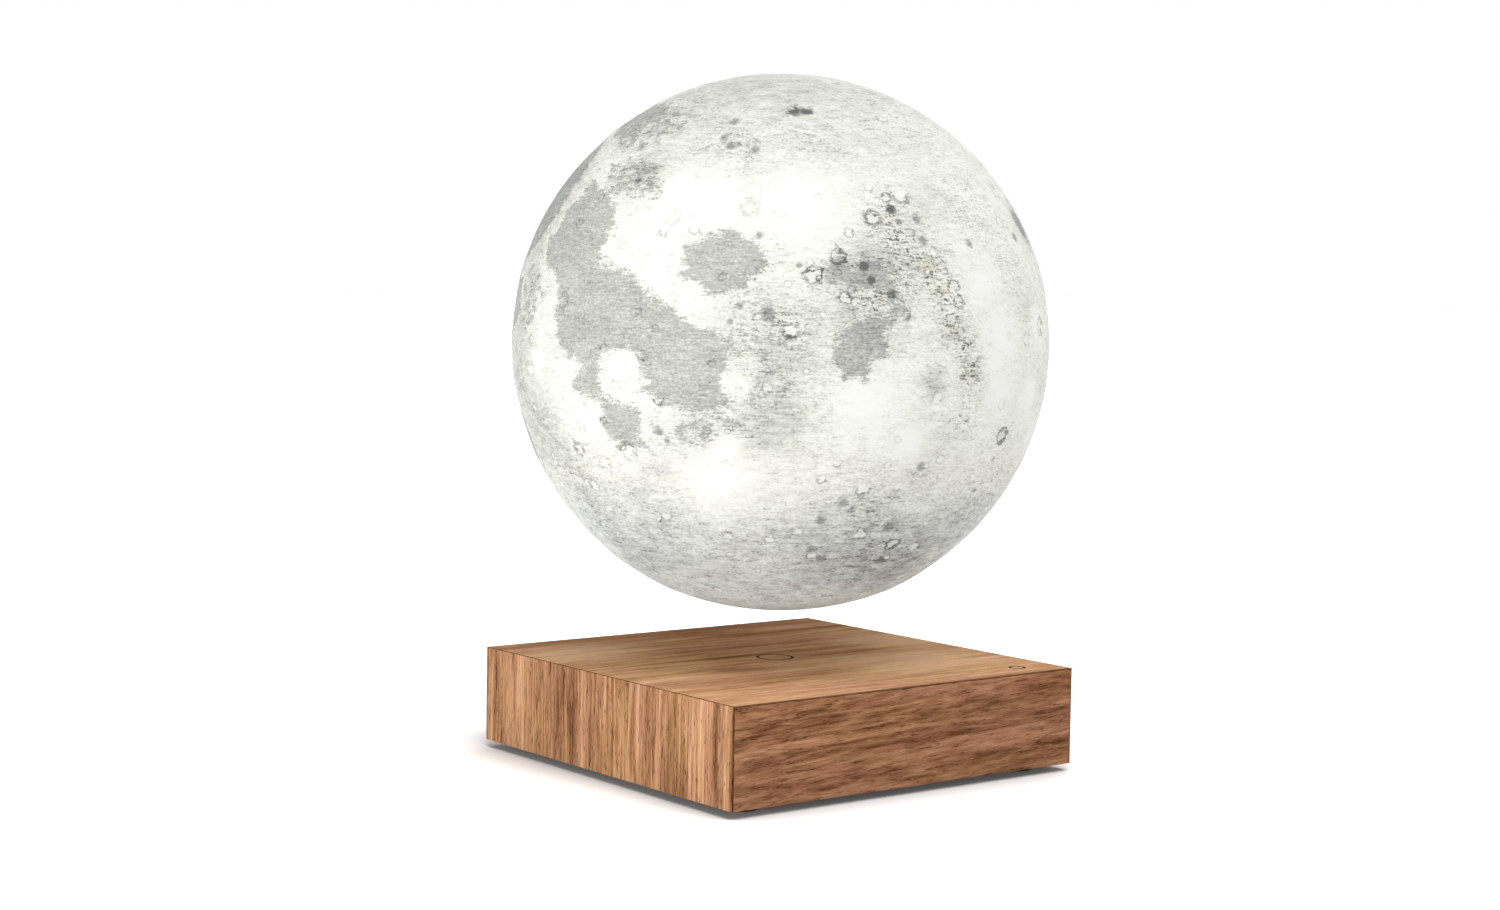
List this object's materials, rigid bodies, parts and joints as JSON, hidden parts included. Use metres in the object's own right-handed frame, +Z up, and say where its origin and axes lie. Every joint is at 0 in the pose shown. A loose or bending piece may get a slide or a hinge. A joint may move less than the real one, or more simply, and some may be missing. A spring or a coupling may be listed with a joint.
{
  "type": "moon lamp",
  "caption": "Printed moon globe that floats and turns over a square wooden base with a touch mark, lifting magnets and coils inside.",
  "frame": {"origin": "centre of the base's footprint, on the surface that the lamp stands on", "axes": "+Z up along the axis of the moon and the ring mark, -Y towards the front with the touch mark, +X to the right"},
  "size_m": [0.14, 0.14, 0.1795],
  "materials": {
    "walnut_veneer": "satin varnished walnut veneer",
    "softwood": "planed, unfinished",
    "black_plate": "black fine-textured plastic",
    "foot_rubber": "matte black rubber",
    "screw_steel": "zinc-plated steel",
    "nylon": "natural nylon",
    "circuit_board": "green solder mask",
    "white_board": "white solder mask",
    "chip_plastic": "moulded black epoxy",
    "capacitor_can": "bright aluminium can",
    "inlet_plastic": "moulded black plastic",
    "pin_brass": "bright brass",
    "tray_plastic": "moulded natural plastic",
    "magnet_nickel": "nickel-plated magnet",
    "bobbin_plastic": "moulded dark plastic",
    "copper_wire": "enamelled copper wire",
    "core_iron": "soft iron",
    "lead_insulation": "insulated wire",
    "moon_print": "off-white printed plastic with fine layers and craters",
    "diffuser_plastic": "milky translucent plastic",
    "light_phosphor": "clear resin over phosphor"
  },
  "bodies": {
    "base": {"top_panel": "walnut_veneer", "front_panel": "walnut_veneer", "back_panel": "walnut_veneer", "left_panel": "walnut_veneer", "right_panel": "walnut_veneer", "corner_blocks": "softwood", "bottom_plate": "black_plate", "plate_screws": "screw_steel", "rubber_feet": "foot_rubber", "board_spacers": "nylon", "control_board": "circuit_board", "board_screws": "screw_steel", "controller_chips": "chip_plastic", "driver_transistors": "chip_plastic", "choke": "chip_plastic", "large_capacitors": "capacitor_can", "power_inlet": "inlet_plastic", "inlet_pin": "pin_brass", "magnet_tray": "tray_plastic", "ring_magnet": "magnet_nickel", "coil_bobbins": "bobbin_plastic", "coil_windings": "copper_wire", "coil_cores": "core_iron", "field_sensors": "chip_plastic", "coil_former": "tray_plastic", "transmitter_coil": "copper_wire", "transmitter_leads": "lead_insulation", "touch_pad": "copper_wire", "touch_lead": "lead_insulation"},
    "float_magnet": {"floating_magnet": "magnet_nickel"},
    "moon": {"moon_shell": "moon_print", "moon_cap": "moon_print", "magnet_cover": "tray_plastic", "receiver_coil": "copper_wire", "receiver_board": "white_board", "cap_screws": "screw_steel", "lights": "light_phosphor", "light_diffuser": "diffuser_plastic", "smoothing_capacitor": "capacitor_can", "rectifier_chips": "chip_plastic"}
  },
  "joints": [
    {"name": "moon_lift", "type": "slide", "parent": "base", "child": "float_magnet", "axis": [0, 0, 1], "range_m": [-0.0132, 0.06], "stiffness_N_per_m": 150, "springref_m": 0.01112},
    {"name": "moon_spin", "type": "hinge", "parent": "float_magnet", "child": "moon", "pos_m": [0, 0, 0.1095], "axis": [0, 0, 1], "continuous": true}
  ]
}
